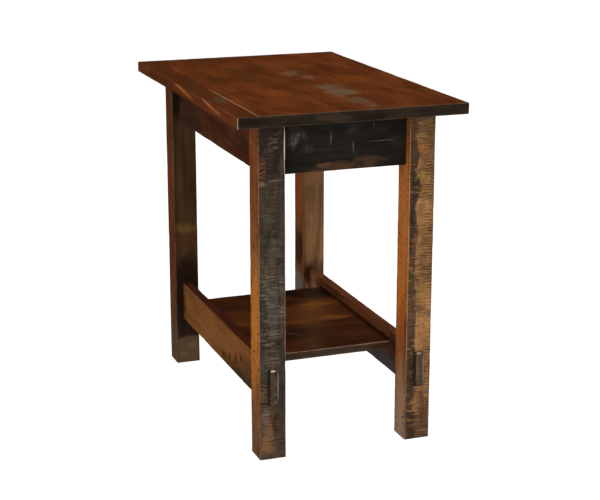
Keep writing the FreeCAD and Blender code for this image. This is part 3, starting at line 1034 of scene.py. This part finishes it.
def front_apron(box, paints):
    """The front apron: black glaze with soft grey smears, and wood showing along its bottom."""
    grey = paint(92, 88, 80)
    brown = paint(84, 50, 27)
    return Look(
        X, Z, box, paints["apron"], dark=0.70, light=1.5,
        stains=[Stain(paint(19, 17, 13), 0.5), Stain(paint(44, 40, 22), 0.35, 40 * MM, 20 * MM, 0.54)],
        marks=[
            Mark((0.68, 0.13), (0.024, 0.018), grey, 0.4, 0.9, 0.9, 0.8, 14),
            Mark((0.6, 0.155), (0.02, 0.006), grey, 0.55, 0.7, 0.8, 0.7, 20),
            Mark((0.7, 0.215), (0.016, 0.005), grey, 0.45, 0.7, 0.8, 0.7, -24),
            Mark((0.45, 0.25), (0.012, 0.016), grey, 0.25, 0.9, 0.9, 0.9),
            Mark((0.64, 0.4), (0.02, 0.002), grey, 0.6, 0.5, 0.8, lean=2),
            Mark((0.46, 0.556), (0.014, 0.002), grey, 0.5, 0.5, 0.8, lean=-3),
            Mark((0.78, 0.56), (0.014, 0.02), grey, 0.22, 0.9, 0.9, 0.5),
            Mark((0.8, 0.7), (0.008, 0.0016), grey, 0.35, 0.5, 0.8),
            Mark((0.51, 0.76), (0.0007, 0.034), paint(98, 88, 72), 0.8, 0.1, 0.6, lean=-1),
            Mark((0.06, 0.5), (0.014, 0.085), brown, 0.7, 0.8, 0.9),
            Mark((0.18, 0.66), (0.01, 0.04), brown, 0.65, 0.9, 0.9),
            Mark((0.12, 0.35), (0.007, 0.022), paint(104, 64, 36), 0.6, 0.9, 0.9),
        ],
        rubbed=0.1, rough=0.55, gloss=0.05, relief=0.6,
    )


def side_apron(box, paints):
    """A side apron: mottled dark red-brown."""
    return Look(
        Y, Z, box, paints["side_apron"], dark=0.66, light=1.35,
        stains=[Stain(paint(40, 21, 12), 0.5), Stain(paint(88, 40, 18), 0.4, 60 * MM, 26 * MM, 0.54)],
        marks=[
            Mark((0.5, 0.82), (0.09, 0.086), paint(42, 27, 20), 0.6, 0.3, 0.2),
            Mark((0.6, 0.74), (0.02, 0.026), paint(84, 66, 56), 0.3, 0.9, 0.9),
        ],
        rubbed=0.25, rim=0.1, rough=0.45, gloss=0.1, relief=0.5, shift=15.0,
    )


class DressAprons(FrameOperator):
    """Dress the four aprons: near black at the front, dark red-brown at the sides."""

    bl_idname = "rustic_table.dress_aprons"
    bl_label = "Aprons"

    def execute(self, context):
        paints = self.colours(context)
        for number, node in enumerate(APRONS):
            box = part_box(node)
            lengthwise = node in ("apron_left", "apron_right")
            grain = Y if lengthwise else X
            outer = {"apron_front": "-Y", "apron_back": "+Y", "apron_left": "-X", "apron_right": "+X"}[node]
            look = side_apron(box, paints) if lengthwise else front_apron(box, paints)
            inside = hidden_look(grain, Z, box, paint(88, 56, 34), 18.0)
            finishes = {
                outer: wood(node + "_outside", look), "rest": wood(node + "_inside", inside),
            }
            finishes["-Z"] = finishes[outer]
            free = (BOTH, NEITHER, (True, False)) if lengthwise else (NEITHER, BOTH, (True, False))
            dress(node, grain, free, finishes, seed=40 + number)
        return {"FINISHED"}


def stretcher_outside(box, paints, number, shift):
    """The face that looks away from the shelf: smooth golden brown with painted shade at its back end. The
    left one has four dark ticks.
    """
    ticks = [
        Mark(at, (0.011, 0.0062), paint(38, 22, 12), 0.9 * (1 - number), 0.3, 0.6)
        for at in ((0.53, 0.264), (0.42, 0.321), (0.30, 0.379), (0.19, 0.445))
    ]
    return Look(
        Y, Z, box, paints["stretcher"], dark=0.72, light=1.25,
        stains=[Stain(paint(82, 48, 22), 0.35, 120 * MM, 26 * MM)],
        strokes=[saw_marks(0.5, length=14 * MM, everywhere=0.10)],
        marks=[
            # Painted shade where the stretcher's back end meets the back leg.
            Mark((0.5, 0.95), (0.09, 0.055), paint(46, 27, 14), 0.8),
            Mark((0.2, 0.2), (0.05, 0.12), paint(66, 46, 30), 0.65),
            Mark((0.0, 0.27), (0.034, 0.15), paint(52, 40, 20), 0.8),
            Mark((0.6, 0.3), (0.016, 0.06), paint(122, 76, 36), 0.5),
        ] + ticks,
        rubbed=0.35, rubbed_colour=paint(140, 98, 60), rim=0.2, rough=0.40, relief=0.5, shift=shift,
    )


def stretcher_inside(box, paints, shift):
    """The face beside the shelf: dark red-brown, with painted light along its upper part, painted shade
    along the shelf and by the front leg, and a painted reflection behind the shelf; grey below the shelf,
    partly a painted reflection of the floor.
    """
    return Look(
        Y, Z, box, paint(96, 53, 28), dark=0.66, light=1.3,
        stains=[Stain(paint(52, 27, 15), 0.5, 90 * MM, 18 * MM)],
        marks=[
            # Painted light along the upper part of the face towards the front.
            Mark((0.89, 0.3), (0.012, 0.24), paint(128, 76, 40), 0.65, 0.4, 0.6),
            # Painted shade along the line where the shelf meets the face.
            Mark((0.76, 0.5), (0.0045, None), paint(30, 18, 11), 0.85, 0.8, 0.5),
            # Grey below the shelf: partly the glaze's own grey, partly a painted reflection of the pale
            # floor.
            Mark((0.1, 0.3), (0.028, None), paint(58, 56, 58), 0.9, 0.1, 0.2),
            # Painted shadow of the front leg, low on the face towards the front.
            Mark((0.75, 0.15), (0.05, 0.075), paint(30, 18, 11), 0.8),
            # Painted reflection of the pale backdrop on the face behind the shelf's back edge.
            Mark((0.72, 0.865), (0.05, 0.03), paint(124, 84, 58), 0.6, 0.4, 0.9),
        ],
        rubbed=0.3, rim=0.2, rough=0.40, relief=0.5, shift=shift,
    )


def stretcher_top(box, number, shift):
    """The narrow upper face, browner on the right stretcher."""
    return Look(
        Y, X, box, (paint(78, 38, 22), paint(112, 62, 34))[number], dark=0.7, light=1.3,
        stains=[Stain(paint(74, 32, 24), 0.4)],
        rubbed=0.45, rubbed_colour=paint(124, 80, 48), rim=0.1, rough=0.40, relief=0.5, shift=shift,
    )


def tenon_tip(box, number, shift):
    """A tenon's tip: painted shade on its left, with painted highlights on the bevel at its right and on
    top.
    """
    # pale is the painted highlight on the bevels at the right and on top.
    pale = paint(168, 150, 126)
    return Look(
        Z, X, box, (paint(64, 52, 40), paint(82, 62, 42))[number], dark=0.66, light=1.35,
        stains=[Stain(paint(36, 27, 18), 0.5, 20 * MM, 8 * MM)],
        strokes=[scratches(0.3)],
        marks=[
            Mark((0.3, 0.56), (0.0045, 0.02), paint(124, 72, 30), 0.7 * number),
            Mark((0.72, 0.4), (0.004, 0.03), paint(48, 42, 38), 0.6),
            # Painted shade down the tip's left side.
            Mark((0.02, 0.5), (0.0034, None), paint(26, 17, 11), 0.9, 0.1, 0.4),
            # Painted highlight on the right bevel.
            Mark((0.945, 0.53), (0.0015, 0.035), pale, 0.9, 0.1, 0.4),
            # Painted highlight on the top bevel.
            Mark((0.45, 0.895), (0.0062, 0.0016), (paint(206, 192, 170), pale)[number], 0.95, 0.1, 0.5),
        ],
        rubbed=0.0, rough=0.50, gloss=0.05, shift=shift,
    )


class DressStretchers(FrameOperator):
    """Dress the two low stretchers and their through tenons."""

    bl_idname = "rustic_table.dress_stretchers"
    bl_label = "Stretchers"

    def execute(self, context):
        paints = self.colours(context)
        leg_low, leg_high = joint_box(LEGS)
        for number, node in enumerate(STRETCHERS):
            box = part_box(node)
            low, high = box
            shift = 5.0 * number
            outer = stretcher_outside(box, paints, number, shift + 3.0)
            inner = stretcher_inside(box, paints, shift + 9.0)
            tenon_low = Vector((low.x, low.y, low.z + SHOULDER))
            tenon_high = Vector((high.x, high.y, high.z - SHOULDER))
            front_tip = (tenon_low, Vector((high.x, leg_low.y, tenon_high.z)))
            back_tip = (Vector((low.x, leg_high.y, tenon_low.z)), tenon_high)
            tips = [
                (*front_tip, (BOTH, (True, False), BOTH), TIP_BEVEL),
                (*back_tip, (BOTH, (False, True), BOTH), TIP_BEVEL),
            ]
            inset = TIP_BEVEL + BEVEL_MARGIN
            cuts = [
                (X, low.x + inset), (X, high.x - inset), (Z, tenon_low.z + inset), (Z, tenon_high.z - inset),
                (Y, leg_low.y), (Y, leg_high.y),
            ]
            finishes = {
                "-X": wood(node + "_left", outer if number == 0 else inner),
                "+X": wood(node + "_right", inner if number == 0 else outer),
                "+Z": wood(node + "_top", stretcher_top(box, number, shift + 14.0)),
                "tip": wood(node + "_tenon", tenon_tip(box, number, shift + 19.0)),
            }
            finishes["rest"] = finishes["+Z"]
            dress(node, Y, (BOTH, NEITHER, BOTH), finishes, 60 + number, cuts, tips)
        return {"FINISHED"}


def shelf_face(box, paints):
    """The upper face: an amber band along the middle board, painted shade and reflection at its back, and a
    few grey scratches.
    """
    amber = paint(136, 78, 32)
    grey = paint(112, 98, 84)
    return Look(
        X, Y, box, paints["shelf"], dark=0.66, light=1.4, grit=0.06,
        stains=[
            Stain(paint(44, 23, 14), 0.5, 90 * MM, 26 * MM),
            Stain(paint(110, 56, 25), 0.4, 90 * MM, 20 * MM, 0.53),
        ],
        marks=[
            Mark((0.58, 0.5), (0.062, None), paint(108, 60, 26), 0.75, 0.3, 0.2),
            Mark((0.44, 0.54), (0.018, 0.06), amber, 0.65),
            Mark((0.64, 0.7), (0.022, 0.05), amber, 0.4, 0.9),
            Mark((0.46, 0.82), (0.022, 0.034), paint(156, 88, 34), 0.75, 0.9),
            Mark((0.7, 0.86), (0.028, 0.05), paint(150, 86, 32), 0.7, 0.9),
            Mark((0.18, 0.8), (0.04, 0.06), paint(90, 48, 30), 0.6),
            Mark((0.5, 0.1), (0.02, 0.07), amber, 0.45),
            Mark((0.95, 0.15), (0.03, 0.06), paint(100, 54, 28), 0.6),
            # Painted shade: the back right leg's dark reflection and shadow on the back of the shelf.
            Mark((0.93, 0.66), (0.034, 0.09), paint(30, 18, 12), 0.7),
            Mark((0.9, 0.86), (0.046, 0.06), paint(20, 14, 9), 0.95, 0.4, 0.5),
            Mark((0.26, 0.42), (0.05, 0.075), paint(34, 22, 16), 0.85),
            Mark((0.29, 0.37), (0.024, 0.004), grey, 0.9, 0.3, 0.8, 0.2, 24),
            Mark((0.26, 0.42), (0.026, 0.003), grey, 0.9, 0.3, 0.8, 0.2, 32),
            Mark((0.13, 0.44), (0.005, 0.04), grey, 0.45, 0.8, 0.8, 0.3, 4),
            Mark((0.05, 0.46), (0.008, 0.012), grey, 0.5, 0.9),
            Mark((0.0, 0.5), (0.0018, None), paint(172, 146, 120), 0.75, 0.2, 0.4, last=True),
        ],
        rubbed=0.5, rough=0.32, gloss=0.3, relief=0.35,
    )


def shelf_edge(box):
    """The front edge: grey-brown, with a pale upper arris and painted shadow at its right end."""
    return Look(
        X, Z, box, paint(74, 55, 38), dark=0.7, light=1.3,
        stains=[Stain(paint(44, 30, 19), 0.5)],
        marks=[
            # Painted shadow of the front right leg on the edge's right end.
            Mark((0.5, 0.95), (0.03, 0.05), paint(66, 34, 20), 0.7),
            Mark((1.0, 0.5), (0.0022, None), paint(172, 146, 120), 0.85, 0.3, 0.4, last=True),
        ],
        rubbed=0.8, rubbed_colour=paint(150, 124, 98), rough=0.50, gloss=0.1, relief=0.6, shift=6.0,
    )


class DressShelf(FrameOperator):
    """Dress the three boards of the shelf in dark, glossy red-brown."""

    bl_idname = "rustic_table.dress_shelf"
    bl_label = "Shelf"

    def execute(self, context):
        paints = self.colours(context)
        box = joint_box(SHELF_BOARDS)
        under = Look(
            X, Y, box, paint(80, 50, 30), strokes=[saw_marks(0.4)], rubbed=0.2, rough=0.55, gloss=0.0,
            shift=11.0,
        )
        edge = wood("shelf_edge", shelf_edge(box))
        finishes = {
            "+Z": wood("shelf_face", shelf_face(box, paints)), "-Y": edge, "+Y": edge,
            "rest": wood("shelf_under", under),
        }
        for number, node in enumerate(SHELF_BOARDS):
            free = (NEITHER, outer_sides(number, SHELF_BOARDS), BOTH)
            dress(node, X, free, finishes, seed=7)
        return {"FINISHED"}


def coat(node, material):
    """Gives a node of the frame its material."""
    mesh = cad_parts[node].data
    mesh.materials.clear()
    mesh.materials.append(material)


def turned_steel(colour):
    """Turned steel, a little uneven."""
    recipe = Recipe("screw_steel")
    speckle = recipe.grainy(recipe.place(), Z, 0.6 * MM, 0.9 * MM, 0.0, 3.0)
    tone = recipe.mix(shade(colour, 0.7), colour, speckle)
    surface = recipe.node(
        "ShaderNodeBsdfPrincipled", {},
        {"Base Color": tone, "Metallic": 1.0, "Roughness": 0.25 + speckle * 0.2}
    )
    return recipe.end("ShaderNodeOutputMaterial", surface)


class DressButtons(FrameOperator):
    """Give the buttons under the top bare hardwood, and their screws steel."""

    bl_idname = "rustic_table.dress_buttons"
    bl_label = "Buttons and screws"

    def execute(self, context):
        paints = self.colours(context)
        look = Look(
            Z, X, joint_box(BUTTONS), paints["bare"], dark=0.8, light=1.15, rubbed=0.0,
            rough=0.6, gloss=0.0,
        )
        bare = wood("bare_hardwood", look)
        for node in BUTTONS:
            coat(node, bare)
        coat("button_screws", turned_steel(paints["steel"]))
        return {"FINISHED"}


# The studio

FLOOR_HALF = 14.0
FLOOR_GLOW = 1.02
BACKDROP = 1.05
CEILING_BAND = (0.55, 1.0)
SENSOR = 36.0
LIGHT_SIZE = 2.2
LIGHT_AIM = (0.0, 0.0, 0.35)

# Each light's place and its share of the softbox's power

LIGHTS = {
    "softbox_front_left": ((-2.3, -2.1, 1.4), 1.0),
    "softbox_front_right": ((2.3, -2.1, 1.3), 0.65),
    "softbox_back_left": ((-2.3, 2.1, 1.3), 0.42),
    "softbox_back_right": ((2.3, 2.1, 1.3), 0.55),
    "softbox_above": ((0.0, 0.0, 2.7), 0.70),
}


class SetStage(FrameOperator):
    """Lay the pale floor, set the lights and place the camera."""

    bl_idname = "rustic_table.set_stage"
    bl_label = "Stage"

    def execute(self, context):
        studio = context.scene.rustic_table_studio
        self.floor()
        self.room(studio)
        for name, (place, share) in LIGHTS.items():
            self.light(name, place, studio.softbox * share)
        self.camera(studio)
        context.scene.view_settings.view_transform = "Standard"
        return {"FINISHED"}

    def floor(self):
        """A wide pale floor at the feet."""
        mesh = bpy.data.meshes.new("floor")
        corners = [(x * FLOOR_HALF, y * FLOOR_HALF, 0) for x, y in ((-1, -1), (1, -1), (1, 1), (-1, 1))]
        mesh.from_pydata(corners, [], [(0, 1, 2, 3)])
        recipe = Recipe("floor_paper")
        mottle = recipe.grainy(recipe.place(), Z, 0.4, 0.4, 0.0)
        tone = recipe.mix(paint(251, 251, 251), paint(255, 255, 255), mottle)
        matt = recipe.mix(paint(104, 104, 104), paint(110, 110, 110), mottle)
        surface = recipe.node(
            "ShaderNodeBsdfPrincipled", {},
            {
                "Base Color": matt, "Roughness": 0.9, "Specular IOR Level": 0.1, "Emission Color": tone,
                "Emission Strength": FLOOR_GLOW
            }
        )
        mesh.materials.append(recipe.end("ShaderNodeOutputMaterial", surface))
        floor = new_object("floor", mesh)
        floor.visible_glossy = False

    def room(self, studio):
        """A pale backdrop for the camera, and a dim room with a soft ceiling for the gloss of the wood."""
        world = bpy.data.worlds.new("room")
        bpy.context.scene.world = world
        world.use_nodes = True
        recipe = Recipe("room", world.node_tree)
        seen = recipe.node("ShaderNodeLightPath", {}, {}, "Is Camera Ray")
        upward = recipe.node("ShaderNodeTexCoord", {}, {}, "Generated")
        height = recipe.node("ShaderNodeSeparateXYZ", {}, {"Vector": upward}, "Z")
        ceiling = recipe.rise(height, *CEILING_BAND) * studio.ceiling
        strength = seen * BACKDROP + (1.0 - seen) * ceiling
        inputs = {"Color": (1.0, 1.0, 1.0), "Strength": strength}
        background = recipe.node("ShaderNodeBackground", {}, inputs, "Background")
        recipe.end("ShaderNodeOutputWorld", background)

    def light(self, name, place, power):
        """A large square soft light aimed at the middle of the table, which a gloss doesn't mirror."""
        lamp = bpy.data.lights.new(name, "AREA")
        lamp.size = LIGHT_SIZE
        lamp.energy = power
        piece = new_object(name, lamp)
        piece.location = place
        aim = Vector(LIGHT_AIM) - Vector(place)
        piece.rotation_euler = aim.to_track_quat("-Z", "Y").to_euler()
        piece.visible_glossy = False

    def camera(self, studio):
        """The camera, where the photographer's stood."""
        data = bpy.data.cameras.new("camera")
        data.sensor_width = SENSOR
        data.lens = studio.camera_lens
        camera = new_object("camera", data)
        camera.location = studio.camera_place
        camera.rotation_euler = Euler((math.pi / 2 - studio.camera_pitch, 0.0, -studio.camera_yaw))
        bpy.context.scene.camera = camera


class RusticTablePanel(bpy.types.Panel):
    """The table's sizes, colours and making steps."""

    bl_idname = "VIEW3D_PT_rustic_table"
    bl_label = "Rustic Table"
    bl_space_type = "VIEW_3D"
    bl_region_type = "UI"
    bl_category = "Rustic Table"

    def draw(self, context):
        for group_name, kind in GROUPS.items():
            box = self.layout.box()
            for name in kind.__annotations__:
                box.prop(getattr(context.scene, group_name), name)
        for operator in OPERATORS:
            self.layout.operator(operator.bl_idname)


GROUPS = {
    "rustic_table_wear": RusticTableWear,
    "rustic_table_colours": RusticTableColours,
    "rustic_table_studio": RusticTableStudio,
}
OPERATORS = (DressTop, DressLegs, DressAprons, DressStretchers, DressShelf, DressButtons, SetStage)
CLASSES = (*GROUPS.values(), *OPERATORS, RusticTablePanel)


def register():
    """Adds the classes and the scene's groups of values."""
    for item in CLASSES:
        bpy.utils.register_class(item)
    for name, group in GROUPS.items():
        setattr(bpy.types.Scene, name, PointerProperty(type=group))


def unregister():
    """Takes the groups and classes away again."""
    for name in GROUPS:
        delattr(bpy.types.Scene, name)
    for item in reversed(CLASSES):
        bpy.utils.unregister_class(item)


def main():
    """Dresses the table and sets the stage."""
    register()
    bpy.ops.rustic_table.dress_top()
    bpy.ops.rustic_table.dress_legs()
    bpy.ops.rustic_table.dress_aprons()
    bpy.ops.rustic_table.dress_stretchers()
    bpy.ops.rustic_table.dress_shelf()
    bpy.ops.rustic_table.dress_buttons()
    bpy.ops.rustic_table.set_stage()


if __name__ == "__main__":
    main()
